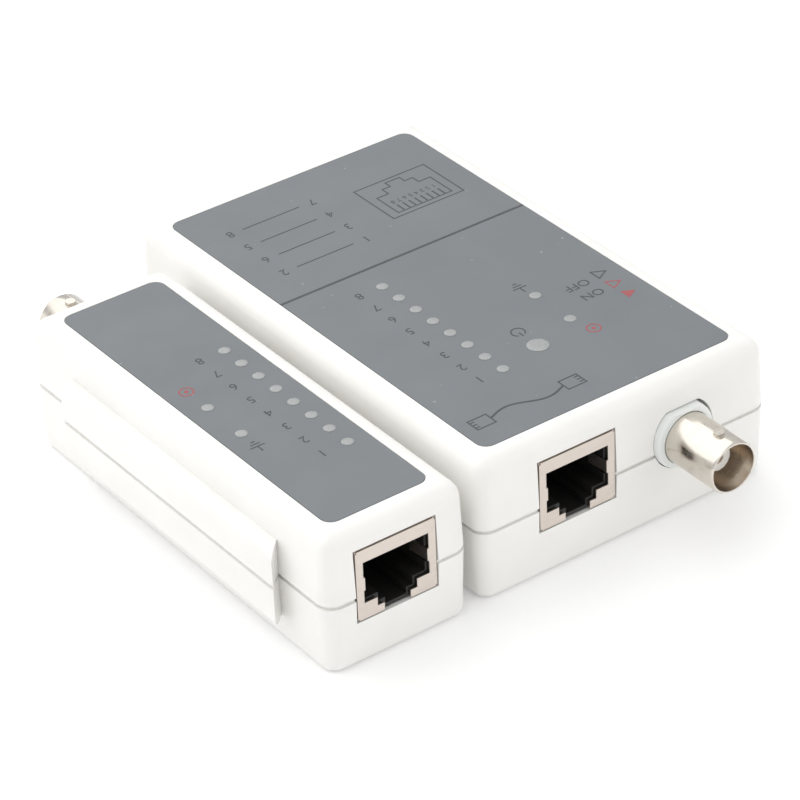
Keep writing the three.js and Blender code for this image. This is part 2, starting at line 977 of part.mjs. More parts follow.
// Eight sprung wires that fall from the mouth's roof to the bar behind the cavity
function jackContacts() {
  const { thickness, heelHeight, tipSetback, tipDrop, width, pitch, count } = contact;
  const heelY = jack.cavityDepth - cutOverrun;
  const tipHeight = jack.windowTop - jack.insulatorInset - tipDrop;
  const half = thickness / 2;
  const outline = [
    [tipSetback, tipHeight - half],
    [heelY, heelHeight - half],
    [barFront() + half, heelHeight - half],
    [barFront() + half, heelHeight + half],
    [heelY, heelHeight + half],
    [tipSetback, tipHeight + half],
  ];
  const wires = [];
  for (let i = 0; i < count; i += 1) {
    const x = (i - (count - 1) / 2) * pitch;
    wires.push(extrudeAlongX(shapeOf(outline), around(x, width / 2)));
  }
  const bar = slab(
    around(0, contactHalfWidth() + contact.barMargin / 2),
    [barFront(), barFront() + contact.barLength - seatGap],
    around(heelHeight, contact.barHeight / 2),
  );
  return joined([bar, ...wires]);
}

function jackGroup(prefix) {
  const group = new THREE.Group();
  group.add(makeMesh(`${prefix}_jack_shield`, jackShield(), 'tin'));
  group.add(makeMesh(`${prefix}_jack_insulator`, jackInsulator(), 'blackPlastic'));
  group.add(makeMesh(`${prefix}_jack_contacts`, jackContacts(), 'gold'));
  return group;
}

// The coaxial socket, from its axis at the case's face, with -Y pointing out of the case

function coaxBarrel() {
  const { reach, barrelRadius, rimRadius, rimChamfer, boreRadius, boreDepth, rearLength } = coax;
  const throat = coax.dielectricRadius + seatGap;
  const profile = [
    [throat, -reach + boreDepth],
    [boreRadius, -reach + boreDepth],
    [boreRadius, -reach],
    [rimRadius, -reach],
    [barrelRadius, -reach + rimChamfer],
    [barrelRadius, rearLength],
    [throat, rearLength],
    [throat, -reach + boreDepth],
  ];
  const tube = turnedAboutY(profile, detail.turned);
  const lugSpan = (boreRadius + barrelRadius) / 2;
  const lugY = -reach + coax.lugSetback;
  const lugs = [-1, 1].map((side) => {
    return rod(coax.lugRadius, sideSpan(side, lugSpan, coax.lugTipRadius), 0, lugY, detail.pin);
  });
  return joined([tube, ...lugs]);
}

function coaxDielectric() {
  const { reach, dielectricRadius, dielectricSetback, dielectricRear, contactRadius } = coax;
  const bore = contactRadius + seatGap;
  const front = -reach + dielectricSetback;
  const profile = [
    [bore, front],
    [dielectricRadius, front],
    [dielectricRadius, dielectricRear],
    [bore, dielectricRear],
    [bore, front],
  ];
  return turnedAboutY(profile, detail.bore);
}

function coaxContact() {
  const { contactSetback, contactRadius, contactBore, contactBoreDepth } = coax;
  const front = -coax.reach + coax.dielectricSetback + contactSetback;
  const rear = coax.dielectricRear + contactSetback;
  const profile = [
    [0, front + contactBoreDepth],
    [contactBore, front + contactBoreDepth],
    [contactBore, front],
    [contactRadius, front],
    [contactRadius, rear],
    [0, rear],
  ];
  return turnedAboutY(profile, detail.pin);
}

// The collar's outlines from the inside out: flatted, and domed where it stands out of the case
function coaxCollar(root) {
  const { collarRadius, collarFlat, collarProud, crownRise, crownInset, crownFlatInset } = coax;
  const sections = [{ z: -root, outline: flattedCircle(collarRadius, collarFlat, 0, 0) }];
  for (let step = 0; step <= detail.crown; step += 1) {
    const angle = step / detail.crown * Math.PI / 2;
    const radius = collarRadius - crownInset * (1 - Math.cos(angle));
    const flat = collarFlat - crownFlatInset * (1 - Math.cos(angle));
    const z = collarProud + crownRise * Math.sin(angle);
    sections.push({ z, outline: flattedCircle(radius, flat, 0, 0) });
  }
  return loft(sections).rotate([90, 0, 0]);
}

// The white moulding: a collar in the case's hole and the block that stands on the board
function coaxHousing(unit) {
  const { blockWidth, blockAbove, blockDepth, barrelRadius, rearLength } = coax;
  const blockFront = moulding.wall + moulding.lowerDraft + seatGap;
  const blockRear = blockFront + blockDepth;
  const body = slab(
    around(0, blockWidth / 2),
    [blockFront, blockRear],
    [seatGap - coaxAboveBoard(unit), blockAbove],
  );
  const mouth = -coax.collarProud - coax.crownRise - cutOverrun;
  const bores = turnedAboutY([
    [0, mouth],
    [barrelRadius + coax.barrelGap, mouth],
    [barrelRadius + coax.barrelGap, rearLength + seatGap],
    [coax.dielectricRadius + seatGap, rearLength + seatGap],
    [coax.dielectricRadius + seatGap, blockRear + cutOverrun],
    [0, blockRear + cutOverrun],
  ], detail.turned);
  return joined([coaxCollar(blockFront + seatGap), body]).subtract(bores);
}

function coaxGroup(prefix, unit) {
  const group = new THREE.Group();
  group.add(makeMesh(`${prefix}_coax_housing`, coaxHousing(unit), 'whitePlastic'));
  group.add(makeMesh(`${prefix}_coax_barrel`, coaxBarrel(), 'nickel'));
  group.add(makeMesh(`${prefix}_coax_dielectric`, coaxDielectric(), 'dielectric'));
  group.add(makeMesh(`${prefix}_coax_contact`, coaxContact(), 'gold'));
  return group;
}

// Lights, boards, screws and the chip

function led(unit, { x, y, size }) {
  const bottom = boardTop(unit) + seatGap;
  const top = unit.height - sheet.thickness - sheet.glueLine - seatGap;
  const base = top - size.bodyHeight;
  const domeStart = top - size.radius;
  const profile = [
    [0, base],
    [size.flangeRadius, base],
    [size.flangeRadius, base + size.flangeHeight],
    [size.radius, base + size.flangeHeight],
  ];
  for (let step = 0; step < detail.dome; step += 1) {
    const angle = step / detail.dome * Math.PI / 2;
    profile.push([size.radius * Math.cos(angle), domeStart + size.radius * Math.sin(angle)]);
  }
  profile.push([0, top]);
  const lens = turnedAboutZ(profile, detail.led, x, y);
  const leads = [-1, 1].map((side) => slab(
    around(x + side * ledLead.spread, ledLead.width / 2),
    around(y, ledLead.width / 2),
    [bottom, base + size.flangeHeight / 2],
  ));
  return joined([lens, ...leads]);
}

function boardSolid(unit, rear, places) {
  const side = unit.width / 2 - moulding.wall - board.edgeGap;
  const front = frontFace(unit) + moulding.wall + board.edgeGap;
  const cut = board.cornerCut;
  const outline = shapeOf([
    [-side + cut, front], [side - cut, front], [side, front + cut], [side, rear - cut],
    [side - cut, rear], [-side + cut, rear], [-side, rear - cut], [-side, front + cut],
  ]);
  const span = [boardBottom(unit), boardTop(unit)];
  const plate = extrudeAlongZ(outline, span);
  const holes = places.map(([x, y]) => (
    rod(board.screwHole, [span[0] - cutOverrun, span[1] + cutOverrun], x, y, detail.boss)
  ));
  return cutFrom(plate, holes);
}

function screwSolid(unit, [x, y]) {
  const { headRadius, headTaper, shankRadius, length, tipLength, recessWidth, recessLength } = screw;
  const seat = screwSeat(unit);
  const headHeight = screw.headShare * sinkDepth(unit);
  const head = seat - headHeight;
  const profile = [
    [0, head],
    [headRadius - headTaper, head],
    [headRadius, head + headTaper],
    [headRadius, seat],
    [shankRadius, seat],
    [shankRadius, seat + length - tipLength],
    [0, seat + length],
  ];
  const turned = turnedAboutZ(profile, detail.pin, x, y);
  const depth = [head - cutOverrun, head + screw.recessShare * headHeight];
  return cutFrom(turned, [
    slab(around(x, recessWidth / 2), around(y, recessLength / 2), depth),
    slab(around(x, recessLength / 2), around(y, recessWidth / 2), depth),
  ]);
}

function chipSolid() {
  const base = boardTop(mainCase) + seatGap;
  const standoff = chip.legWidth;
  const shoulder = base + standoff + chip.height / 2;
  const body = slab(
    around(chip.x, chip.width / 2),
    around(chip.y, chip.length / 2),
    [base + standoff, base + standoff + chip.height],
  );
  const legs = [];
  for (let i = 0; i < chip.legs; i += 1) {
    const y = chip.y + (i - (chip.legs - 1) / 2) * chip.legPitch;
    for (const side of [-1, 1]) {
      const legY = around(y, chip.legWidth / 2);
      const root = sideSpan(side, chip.width / 2 - chip.legWidth, chip.legSpan / 2);
      const foot = sideSpan(side, (chip.legSpan - chip.legWidth) / 2, chip.legSpan / 2);
      legs.push(slab(root.map((x) => chip.x + x), legY, [shoulder - chip.legWidth / 2, shoulder]));
      legs.push(slab(foot.map((x) => chip.x + x), legY, [base, shoulder]));
    }
  }
  return joined([body, ...legs]);
}

// The slide switch

function switchFront() {
  return mainCase.width / 2 - moulding.wall - seatGap;
}

function switchBodySolid() {
  const { offY, travel, bodyDepth, bodyHeight, bodyWall } = powerSwitch;
  const { sliderLength, knobLength, knobHeight } = powerSwitch;
  const centreY = offY - travel / 2;
  const front = switchFront();
  const hollowHalf = (travel + sliderLength) / 2 + seatGap;
  const z = switchAxisHeight();
  const outer = slab(
    [front - bodyDepth, front],
    around(centreY, hollowHalf + bodyWall),
    around(z, bodyHeight / 2),
  );
  const hollow = slab(
    [front - bodyDepth + bodyWall, front - bodyWall],
    around(centreY, hollowHalf),
    around(z, bodyHeight / 2 - bodyWall),
  );
  const slot = slab(
    [front - bodyWall - cutOverrun, front + cutOverrun],
    around(centreY, (travel + knobLength) / 2 + seatGap),
    around(z, knobHeight / 2 + seatGap),
  );
  return cutFrom(outer, [hollow, slot]);
}

function switchKnobSolid() {
  const { offY, bodyHeight, bodyWall, sliderDepth, sliderLength } = powerSwitch;
  const { knobLength, knobHeight, knobProud, ridges, ridgePitch, ridgeWidth, ridgeDepth } = powerSwitch;
  const z = switchAxisHeight();
  const sliderFront = switchFront() - bodyWall - seatGap;
  const tip = mainCase.width / 2 + knobProud;
  const slider = slab(
    [sliderFront - sliderDepth, sliderFront],
    around(offY, sliderLength / 2),
    around(z, bodyHeight / 2 - bodyWall - seatGap),
  );
  const knob = slab([sliderFront - seatGap, tip], around(offY, knobLength / 2), around(z, knobHeight / 2));
  const grooves = [];
  for (let i = 0; i < ridges; i += 1) {
    const y = offY + (i - (ridges - 1) / 2) * ridgePitch;
    const depth = [tip - ridgeDepth, tip + cutOverrun];
    grooves.push(slab(depth, around(y, ridgeWidth / 2), around(z, knobHeight)));
  }
  return cutFrom(slider.add(knob), grooves);
}

// The battery and what holds it

function batterySolid() {
  const { length, width, edgeRadius, terminalSpacing, studRadius, studHeight, socketRadius } = battery;
  const height = batteryHeight();
  const y = batteryRear() - width / 2;
  const z = batteryBottom() + height / 2;
  const outline = shapeOf(roundedOutline(width / 2, height / 2, edgeRadius, detail.caseEdge));
  const body = extrudeAlongX(outline, around(0, length / 2));
  const end = length / 2;
  const can = body.translate([0, y, z]);
  const terminal = (radius, offset, segments) => {
    const geometry = new THREE.CylinderGeometry(radius, radius, studHeight + cutOverrun, segments);
    geometry.rotateZ(Math.PI / 2);
    geometry.translate(end + (studHeight - cutOverrun) / 2, y + offset, z);
    return toSolid(geometry);
  };
  return joined([
    can,
    terminal(studRadius, -terminalSpacing / 2, detail.boss),
    terminal(socketRadius, terminalSpacing / 2, detail.led),
  ]);
}

function wireTube(points) {
  const path = new THREE.CatmullRomCurve3(points.map(([x, y, z]) => new THREE.Vector3(x, y, z)));
  const section = new THREE.Shape();
  section.absarc(0, 0, snap.leadRadius, 0, 2 * Math.PI, false);
  const geometry = new THREE.ExtrudeGeometry(section, {
    steps: detail.wireSteps,
    extrudePath: path,
    curveSegments: detail.wire,
  });
  return toSolid(geometry);
}

// The snap cap stands on the terminals, and its two leads run over the bay's rib to the board
function snapSolid() {
  const end = battery.length / 2;
  const y = batteryRear() - battery.width / 2;
  const z = batteryBottom() + batteryHeight() / 2;
  const inner = end + bay.endGap;
  const plate = slab(
    [inner, inner + snap.thickness],
    around(y, snap.width / 2),
    around(z, snap.heightShare * batteryHeight() / 2),
  );
  const pocket = (radius, offset, segments) => {
    const wide = radius + seatGap;
    const depth = battery.studHeight + seatGap;
    const geometry = new THREE.CylinderGeometry(wide, wide, depth + cutOverrun, segments);
    geometry.rotateZ(Math.PI / 2);
    geometry.translate(end + (depth - cutOverrun) / 2, y + offset, z);
    return toSolid(geometry);
  };
  const cap = cutFrom(plate, [
    pocket(battery.studRadius, -battery.terminalSpacing / 2, detail.boss),
    pocket(battery.socketRadius, battery.terminalSpacing / 2, detail.led),
  ]);
  const lead = (shift) => {
    const x = inner + snap.thickness / 2;
    const start = y - snap.width / 2;
    const over = ribTop() + snap.leadRadius + snap.skirt;
    const boardPoint = boardTop(mainCase) + seatGap;
    const landingX = mainScrewX() - 2 * boss.radius - shift;
    return wireTube([
      [x, start + snap.skirt, z + shift / 2],
      [x, start - snap.skirt, z + shift / 2],
      [x - snap.skirt, ribFront() + bay.ribThickness, over],
      [landingX + snap.skirt, ribFront() - snap.leadDrop, over - snap.skirt],
      [landingX, ribFront() - snap.leadRun, boardPoint + snap.leadDrop],
      [landingX, ribFront() - snap.leadRun, boardPoint],
    ]);
  };
  return joined([cap, lead(-snap.leadSpacing / 2), lead(snap.leadSpacing / 2)]);
}

function doorSolid() {
  const outer = lowerOuter(mainCase);
  const rear = mainCase.length / 2;
  const rearInner = bayRearWall();
  const bottom = door.floorGap;
  const plate = slab(around(0, doorHalfWidth()), [doorFront(), rear], [bottom, doorTop()]);
  const rearLip = slab(around(0, tongueEdge()), [rearInner, rear], [bottom, tongueTop()]);
  const skin = outer.intersect(plate.add(rearLip));
  const tongues = [-1, 1].flatMap((side) => {
    const foot = sideSpan(side, doorHalfWidth() - door.tongueInset, doorHalfWidth());
    const tongue = sideSpan(side, doorHalfWidth() - door.tongueInset, tongueEdge());
    const run = [doorFront(), rearInner + seatGap];
    return [
      slab(foot, run, [doorTop() - seatGap, tongueTop()]),
      slab(tongue, run, [moulding.wall + seatGap, tongueTop()]),
    ];
  });
  const tab = [
    slab(
      around(0, door.frontTabWidth / 2),
      [doorFront(), doorFront() + door.tongueInset],
      [bottom, tongueTop()],
    ),
    slab(
      around(0, door.frontTabWidth / 2),
      [doorFront() - door.frontTabLength, doorFront() + door.tongueInset],
      [moulding.wall + seatGap, tongueTop()],
    ),
  ];
  const ribs = [];
  for (let i = 1; i <= door.ribs; i += 1) {
    const y = doorFront() + i * (rearInner - doorFront()) / (door.ribs + 1);
    ribs.push(slab(around(0, doorHalfWidth()), around(y, door.tongueInset / 2), [bottom, tongueTop()]));
  }
  const grips = [];
  for (let i = 0; i < door.gripCount; i += 1) {
    const y = rear - door.gripEndMargin - i * door.gripPitch;
    const cut = [-cutOverrun, bottom + door.gripDepth];
    grips.push(slab(around(0, door.gripLength / 2), around(y, door.gripWidth / 2), cut));
  }
  return cutFrom(joined([skin, ...tongues, ...tab, ...ribs]), grips);
}

// The two units

function addScrews(unit, prefix, shells, places) {
  places.forEach((place, i) => {
    unit.add(makeMesh(`${prefix}_case_screw_${i + 1}`, screwSolid(shells, place), 'steel'));
  });
}

// A coaxial socket on the rear is the front one turned half round
function addPorts(unit, prefix, shells) {
  const modular = jackGroup(prefix);
  modular.position.set(jackX(shells), frontFace(shells) + jack.faceRecess, jackBase(shells));
  const coaxial = coaxGroup(prefix, shells);
  coaxial.position.set(coaxX(shells), shells.coaxSide * shells.length / 2, coaxAxis(shells));
  coaxial.rotation.z = shells.coaxSide > 0 ? Math.PI : 0;
  unit.add(modular, coaxial);
}

function mainUnit() {
  const unit = new THREE.Group();
  const places = mainScrewPlaces();
  const lights = mainLightList();
  const upper = upperShell(mainCase, places, lights, holdDownRibs());
  const lower = lowerShell(mainCase, places, [bayRib(), ...doorRails()]);
  unit.add(makeMesh('main_upper_shell', cutFrom(upper, [switchSlot()]), 'abs'));
  unit.add(makeMesh('main_lower_shell', cutFrom(lower, [switchSlot(), doorOpening()]), 'abs'));
  unit.add(makeMesh('main_label', printedSheet(mainCase), 'sheet'));
  unit.add(makeMesh('main_board', boardSolid(mainCase, ribFront() - board.edgeGap, places), 'board'));
  unit.add(makeMesh('main_chip', chipSolid(), 'blackPlastic'));
  for (const light of lights) {
    unit.add(makeMesh(light.name, led(mainCase, light), 'lens'));
  }
  addScrews(unit, 'main', mainCase, places);
  unit.add(makeMesh('switch_body', switchBodySolid(), 'steel'));
  unit.add(makeMesh('switch_knob', switchKnobSolid(), 'blackPlastic'));
  unit.add(makeMesh('battery', batterySolid(), 'battery'));
  unit.add(makeMesh('battery_snap', snapSolid(), 'blackPlastic'));
  unit.add(makeMesh('battery_door', doorSolid(), 'abs'));

  addPorts(unit, 'main', mainCase);
  return unit;
}

function remoteUnit() {
  const unit = new THREE.Group();
  const places = remoteScrewPlaces();
  const lights = remoteLightList();
  const upper = upperShell(remoteCase, places, lights, [dockingBlock(blockUpperSection)]);
  const lower = lowerShell(remoteCase, places, [dockingBlock(blockLowerSection)]);
  unit.add(makeMesh('remote_upper_shell', upper, 'abs'));
  unit.add(makeMesh('remote_lower_shell', lower, 'abs'));
  unit.add(makeMesh('remote_label', printedSheet(remoteCase), 'sheet'));
  unit.add(makeMesh('remote_board', boardSolid(remoteCase, remoteBoardEnd, places), 'board'));
  for (const light of lights) {
    unit.add(makeMesh(light.name, led(remoteCase, light), 'lens'));
  }
  addScrews(unit, 'remote', remoteCase, places);
  addPorts(unit, 'remote', remoteCase);
  return unit;
}

const tester = new THREE.Group();
const remote = remoteUnit();
remote.position.set(
  -(mainCase.width / 2 + unitSpacing + remoteCase.width / 2),
  frontFace(mainCase) - remoteLead + remoteCase.length / 2,
  0,
);
tester.add(mainUnit(), remote);

export default tester;
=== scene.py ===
"""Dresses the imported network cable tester: materials, print, windows, light and camera."""
import math

import bmesh
import bpy
from mathutils import Matrix, Vector


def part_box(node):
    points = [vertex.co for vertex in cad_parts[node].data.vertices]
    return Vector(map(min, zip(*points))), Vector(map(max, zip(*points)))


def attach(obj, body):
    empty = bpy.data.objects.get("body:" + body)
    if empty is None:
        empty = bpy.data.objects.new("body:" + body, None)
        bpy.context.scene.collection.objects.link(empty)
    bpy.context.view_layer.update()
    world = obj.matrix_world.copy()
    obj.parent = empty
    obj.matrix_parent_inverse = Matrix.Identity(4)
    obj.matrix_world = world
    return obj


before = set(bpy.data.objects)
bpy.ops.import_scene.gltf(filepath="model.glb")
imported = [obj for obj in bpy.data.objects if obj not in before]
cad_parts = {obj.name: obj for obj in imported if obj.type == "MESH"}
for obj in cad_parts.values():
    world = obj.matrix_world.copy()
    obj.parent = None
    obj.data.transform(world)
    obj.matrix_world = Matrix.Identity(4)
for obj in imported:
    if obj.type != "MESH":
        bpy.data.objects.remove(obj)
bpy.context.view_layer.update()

MM = 0.001

# The camera, at the photograph's angle, in millimetres and degrees
CAMERA_PLACE = (-322.03, -446.28, 363.85)
CAMERA_AZIMUTH = 34.945
CAMERA_ELEVATION = 33.302
CAMERA_ROLL = -2.653
CAMERA_LENS = 166.7
CAMERA_SENSOR = 36.0
CAMERA_CLIP = 10.0

# The windows over the lights, in millimetres from the middle of their sheet. The profile is in shares
# of a window's radius and of its rise.
PINS = 8
MAIN_ROW = {"x": -9.45, "digits_x": -14.45, "first": -29.44, "pitch": 4.89}
REMOTE_ROW = {"x": 6.08, "digits_x": 0.95, "first": -22.75, "pitch": 5.13}
MAIN_SINGLES = {"ground": (9.1, -14.6), "coax": (9.05, -24.3)}
REMOTE_SINGLES = {"ground": (-6.0, -9.65), "coax": (-6.0, 0.3)}
MAIN_POWER = (-0.4, -27.4)
SMALL_WINDOW = 1.1
POWER_WINDOW = 2.0
WINDOW_RISE = 0.12
WINDOW_PROFILE_SHARES = ((1.0, 0.0), (1.0, 0.35), (0.93, 0.75), (0.7, 0.93), (0.35, 1.0))

# The print's thickness, lines and letters, in millimetres
PRINT_THICKNESS = 0.02
PRINT_LINE = 0.26
DIVIDER_LINE = 0.55
LEAD_LINE = 1.6 * PRINT_LINE
CONTACT_LINE = 1.3 * PRINT_LINE
DIGIT_SIZE = 2.8
JACK_DIGIT_SIZE = 1.6
WORD_SIZE = 2.8
WORD_STRETCH = 1.05
CIRCLE_STEPS = 28
LETTER_STEPS = 4
LEAST_MITRE_SHARE = 0.3

# Where the print is, in millimetres from the middle of its sheet
DIVIDER_Y = 11.2
MAIN_SIGNS = {"ground": (8.55, -10.9), "coax": (10.25, -29.2), "power": (-0.45, -22.0)}
REMOTE_SIGNS = {"ground": (-6.05, -14.4), "coax": (-6.05, 6.6)}
SWITCH_WORDS = {"OFF": (16.65, -16.6), "ON": (16.95, -20.5)}
SWITCH_MARKS = {"x": 22.35, "first": -24.2, "pitch": 4.1}
SWITCH_MARK_SIZE = (2.4, 2.6)
PAIRS = ((1, 2), (3, 6), (4, 5), (7, 8))
PAIR_ROWS = {"first": 19.8, "pitch": 5.6, "left": -19.85, "line": (-17.05, -4.85), "right": -2.05}
LEAD_SIGN = {"ends": (-21.95, -2.95), "y": -39.9, "wave": 1.1, "steps": 20}
PLUG_SIZE = (3.8, 2.9)
PLUG_CONTACTS = (-0.8, 0, 0.8)
JACK_FRAME = {"middle": (13.7, 28.35), "size": (15.7, 12.3)}
JACK_AXIS = 13.75
JACK_HALF_OUTLINE = ((6.0, 23.4), (6.0, 30.0), (3.4, 30.0), (3.4, 31.9), (1.6, 31.9), (1.6, 33.5))
JACK_CONTACTS = {"pitch": 1.3, "foot": 23.4, "top": 25.8, "digits_y": 27.1}

# The signs, in millimetres about their middles. A ground bar is its height and half its length.
SIGN_RADIUS = 1.25
COAX_DOT = 0.42
GROUND_STEM = 1.6
GROUND_BARS = ((0, 1.4), (0.75, 0.9), (1.5, 0.4))
POWER_STROKE = (-1.55, -0.2)
POWER_GAP_DEGREES = 60

# Small parts on the boards, and the mark on the battery door, in millimetres. A solder joint is its
# rings of radius and height, and a light's legs stand at their reach on both sides of its middle.
RESISTOR_SIZE = (2.0, 1.25, 0.55)
RESISTOR_END = 0.4
RESISTOR_REACH = 4.6
BOARD_GAP = 0.02
SOLDER_PROFILE = ((0.3, -0.9), (0.75, 0.0))
SOLDER_STEPS = 12
LEG_REACH = 1.27
CONTACT_PITCH = 1.27
CONTACT_ROWS = (-2.54, 2.54)
ARROW_RISE = 0.2
ARROW_LENGTH = 6.0
ARROW_WIDTH = 8.0
ARROW_SHIFT = -9.0

# How the surfaces are dressed: millimetres, degrees, the range that a noise mostly keeps to, and the
# least inward lean of the bore faces that get the painted reflection
NOISE_LOW = 0.3
NOISE_HIGH = 0.7
EDGE_SAMPLES = 6
MOULD_GRAIN = 0.35
MOULD_BUMP = 0.12
METAL_EDGE = 0.08
BATTERY_BAND = 12.0
WELD_GAP = 0.002
SMOOTH_DEGREES = 32
BORE_LEAN = 0.3

# The studio, in metres and watts, with the floor's gap in millimetres
FLOOR_HALF = 4.0
FLOOR_GAP = 0.05
SKY_STRENGTH = 0.83
KEY_LIGHT = {"location": (-0.32, 0.56, 0.88), "target": (0, 0, 0), "size": (2.5, 1.9), "power": 13.2}
FILL_LIGHT = {"location": (0.62, -0.85, 0.42), "target": (0, 0, 0.01), "size": (0.7, 0.7), "power": 1.6}


# Node helpers

def shader(name):
    """A new material with its node tree and its main shader."""
    material = bpy.data.materials.new(name)
    material.use_nodes = True
    tree = material.node_tree
    return material, tree, tree.nodes["Principled BSDF"]


def add(tree, kind, values=None, **settings):
    """Adds a node with those settings, and with those values in its sockets."""
    made = tree.nodes.new(kind)
    for key, value in settings.items():
        setattr(made, key, value)
    for key, value in (values or {}).items():
        made.inputs[key].default_value = value
    return made


def along(tree, space, axis):
    """One axis of the place in that space."""
    where = add(tree, "ShaderNodeTexCoord")
    parts = add(tree, "ShaderNodeSeparateXYZ")
    tree.links.new(where.outputs[space], parts.inputs["Vector"])
    return parts.outputs[axis]


def place(tree, stretch):
    """The point on the object, with its axes stretched."""
    where = add(tree, "ShaderNodeTexCoord")
    mapping = add(tree, "ShaderNodeMapping", {"Scale": stretch})
    tree.links.new(where.outputs["Object"], mapping.inputs["Vector"])
    return mapping.outputs["Vector"]


def noise(tree, scale, detail, rough=0.5, stretch=(1, 1, 1)):
    """A noise fixed to the object, with that many grains to a metre."""
    made = add(tree, "ShaderNodeTexNoise", {"Scale": scale, "Detail": detail, "Roughness": rough})
    tree.links.new(place(tree, stretch), made.inputs["Vector"])
    return made.outputs["Fac"]


def ramp(tree, source, stops):
    """A colour that goes through the stops as the source rises."""
    made = add(tree, "ShaderNodeValToRGB")
    elements = made.color_ramp.elements
    while len(elements) < len(stops):
        elements.new(0.5)
    for element, (position, colour) in zip(elements, stops):
        element.position = position
        element.color = (*colour, 1.0)
    tree.links.new(source, made.inputs["Fac"])
    return made.outputs["Color"]


def tones(tree, source, low, high):
    """A colour between two tones, as a noise goes through its usual range."""
    return ramp(tree, source, [(NOISE_LOW, low), (NOISE_HIGH, high)])


def over(tree, base, factor, colour):
    """The base colour, covered by the other one where the factor is high."""
    mix = add(tree, "ShaderNodeMix", {"B": (*colour, 1.0)}, data_type="RGBA")
    tree.links.new(factor, mix.inputs["Factor"])
    tree.links.new(base, mix.inputs["A"])
    return mix.outputs["Result"]


def colour_by(tree, bsdf, source):
    """Lets the base colour follow the source."""
    tree.links.new(source, bsdf.inputs["Base Color"])


def rough_by(tree, bsdf, source, low, high):
    """Lets the roughness follow the source between low and high."""
    reach = {"From Min": NOISE_LOW, "From Max": NOISE_HIGH, "To Min": low, "To Max": high}
    made = add(tree, "ShaderNodeMapRange", reach)
    tree.links.new(source, made.inputs["Value"])
    tree.links.new(made.outputs["Result"], bsdf.inputs["Roughness"])


def relief(tree, bsdf, source, strength, distance, edge=0.0):
    """Bumps the surface by the source, and softens its edges to that radius."""
    bump = add(tree, "ShaderNodeBump", {"Strength": strength, "Distance": distance * MM})
    tree.links.new(source, bump.inputs["Height"])
    if edge:
        soft = add(tree, "ShaderNodeBevel", {"Radius": edge * MM}, samples=EDGE_SAMPLES)
        tree.links.new(soft.outputs["Normal"], bump.inputs["Normal"])
    tree.links.new(bump.outputs["Normal"], bsdf.inputs["Normal"])


def srgb(red, green, blue):
    """Linear colour from levels of 0 to 255."""
    def linear(level):
        share = level / 255
        return share / 12.92 if share <= 0.04045 else ((share + 0.055) / 1.055) ** 2.4
    return tuple(linear(level) for level in (red, green, blue))


# Materials

def moulded(name, low, high, rough, edge=0.07, gloss=0.5):
    """Moulded plastic: a slight mottle, spark-eroded grain and softened edges."""
    material, tree, bsdf = shader(name)
    colour_by(tree, bsdf, tones(tree, noise(tree, 90, 3), low, high))
    rough_by(tree, bsdf, noise(tree, 240, 3), rough - 0.05, rough + 0.05)
    relief(tree, bsdf, noise(tree, 1 / (MOULD_GRAIN * MM), 2), MOULD_BUMP, 0.02, edge)
    bsdf.inputs["Specular IOR Level"].default_value = gloss
    return material


def printed_sheet(name):
    """The grey sheet with its satin face, and fine dust specks on it."""
    material, tree, bsdf = shader(name)
    tone = tones(tree, noise(tree, 60, 2), srgb(109, 114, 118), srgb(113, 118, 122))
    speck = ramp(tree, noise(tree, 950, 1), [(0.79, (0, 0, 0)), (0.81, (1, 1, 1))])
    colour_by(tree, bsdf, over(tree, tone, speck, srgb(150, 154, 156)))
    rough_by(tree, bsdf, noise(tree, 150, 3), 0.36, 0.46)
    relief(tree, bsdf, noise(tree, 900, 2), 0.06, 0.01, 0.08)
    return material


def ink(name, colour):
    """Screen-printed ink, a little uneven."""
    material, tree, bsdf = shader(name)
    low = tuple(level * 0.92 for level in colour)
    high = tuple(level * 1.08 for level in colour)
    colour_by(tree, bsdf, tones(tree, noise(tree, 1400, 3), low, high))
    rough_by(tree, bsdf, noise(tree, 400, 2), 0.4, 0.52)
    return material


def window_film(name):
    """The windows: frosted film over an unlit light."""
    material, tree, bsdf = shader(name)
    stops = [(0.32, srgb(148, 151, 151)), (0.55, srgb(152, 155, 154)), (0.75, srgb(156, 158, 156))]
    colour_by(tree, bsdf, ramp(tree, noise(tree, 1500, 4, 0.6), stops))
    rough_by(tree, bsdf, noise(tree, 700, 2), 0.2, 0.34)
    bsdf.inputs["Coat Weight"].default_value = 0.35
    bsdf.inputs["Coat Roughness"].default_value = 0.15
    relief(tree, bsdf, noise(tree, 1800, 2), 0.03, 0.02)
    return material


def lens(name):
    """The cloudy plastic of an unlit light."""
    material, tree, bsdf = shader(name)
    colour_by(tree, bsdf, tones(tree, noise(tree, 400, 2), srgb(206, 212, 208), srgb(222, 227, 223)))
    rough_by(tree, bsdf, noise(tree, 300, 2), 0.16, 0.26)
    bsdf.inputs["Subsurface Weight"].default_value = 0.3
    bsdf.inputs["Subsurface Radius"].default_value = (MM, MM, MM)
    bsdf.inputs["Coat Weight"].default_value = 0.5
    relief(tree, bsdf, noise(tree, 900, 2), 0.05, 0.01)
    return material


def metal(name, low, high, rough, stretch, scale, bump):
    """Plated metal whose colour, gloss and relief follow one grain."""
    material, tree, bsdf = shader(name)
    grain = noise(tree, scale, 4, 0.6, stretch)
    colour_by(tree, bsdf, ramp(tree, grain, [(0.28, low), (0.72, high)]))
    rough_by(tree, bsdf, grain, rough - 0.06, rough + 0.06)
    bsdf.inputs["Metallic"].default_value = 1.0
    relief(tree, bsdf, grain, bump, 0.01, METAL_EDGE)
    return material


